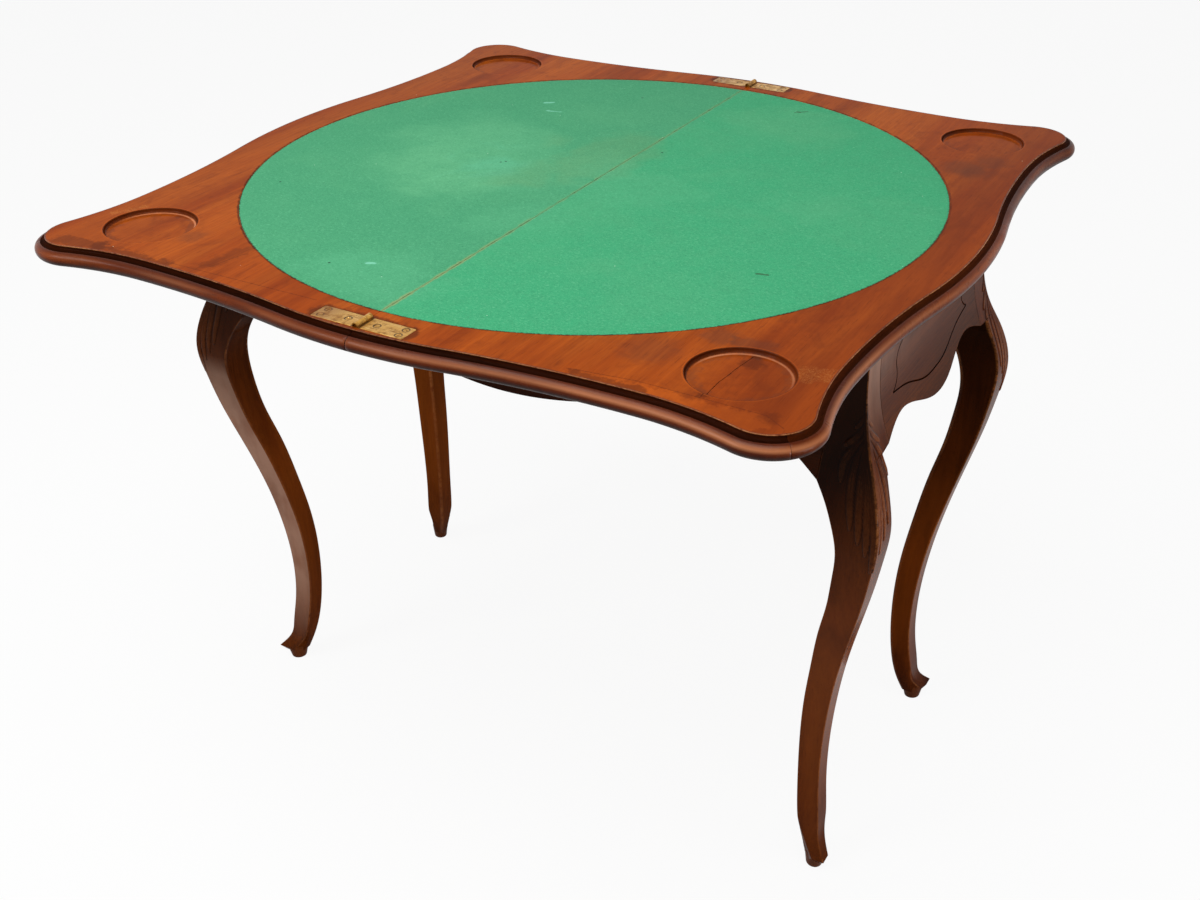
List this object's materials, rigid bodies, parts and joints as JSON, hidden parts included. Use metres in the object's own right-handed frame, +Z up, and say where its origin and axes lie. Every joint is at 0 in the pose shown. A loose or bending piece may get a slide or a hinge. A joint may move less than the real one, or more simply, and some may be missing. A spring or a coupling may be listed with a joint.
{
  "type": "games table",
  "caption": "Serpentine card table on cabriole legs, whose hinged top swivels on an off-centre pivot and folds in half over a shallow well.",
  "frame": {"origin": "on the floor, below the centre of the open top", "axes": "+Z up; +X along the frame's long side, across the fold line; +Y along the fold line"},
  "size_m": [0.9322, 0.9244, 0.7445],
  "materials": {
    "top_wood": "polished, warm brown, worn",
    "moulding_wood": "polished, darker brown",
    "frame_wood": "french polished, dark brown",
    "inner_wood": "bare, planed",
    "baize": "worn woollen cloth",
    "brass": "tarnished",
    "iron": "dark, oiled"
  },
  "bodies": {
    "base": {"leg_near_left": "frame_wood", "leg_near_right": "frame_wood", "leg_far_left": "frame_wood", "leg_far_right": "frame_wood", "apron_near": "frame_wood", "apron_far": "frame_wood", "apron_left": "frame_wood", "apron_right": "frame_wood", "cross_rail": "inner_wood", "rail_glue_blocks": "inner_wood", "well_floor_board": "inner_wood", "well_bearers": "inner_wood", "pivot_bush": "brass", "pivot_washer": "iron"},
    "lower_leaf": {"pivot_nut": "iron", "pivot_plate": "iron", "pivot_plate_screws": "iron", "stop_peg": "inner_wood", "lower_leaf_board": "top_wood", "lower_leaf_end_moulding": "moulding_wood", "lower_leaf_near_moulding": "moulding_wood", "lower_leaf_far_moulding": "moulding_wood", "lower_leaf_felt": "baize", "lower_hinge_plate_near": "brass", "lower_hinge_plate_far": "brass", "hinge_pin_near": "brass", "hinge_pin_far": "brass", "lower_hinge_screws": "brass"},
    "folding_leaf": {"folding_leaf_board": "top_wood", "folding_leaf_end_moulding": "moulding_wood", "folding_leaf_near_moulding": "moulding_wood", "folding_leaf_far_moulding": "moulding_wood", "folding_leaf_felt": "baize", "folding_hinge_plate_near": "brass", "folding_hinge_plate_far": "brass", "folding_hinge_screws": "brass"}
  },
  "joints": [
    {"name": "top_swivel", "type": "hinge", "parent": "base", "child": "lower_leaf", "pos_m": [0.11656, 0.11656, 0.7185], "axis": [0, 0, 1], "range_deg": [-90, 0]},
    {"name": "leaf_fold", "type": "hinge", "parent": "lower_leaf", "child": "folding_leaf", "pos_m": [0, 0, 0.741], "axis": [0, 1, 0], "range_deg": [0, 180]}
  ]
}
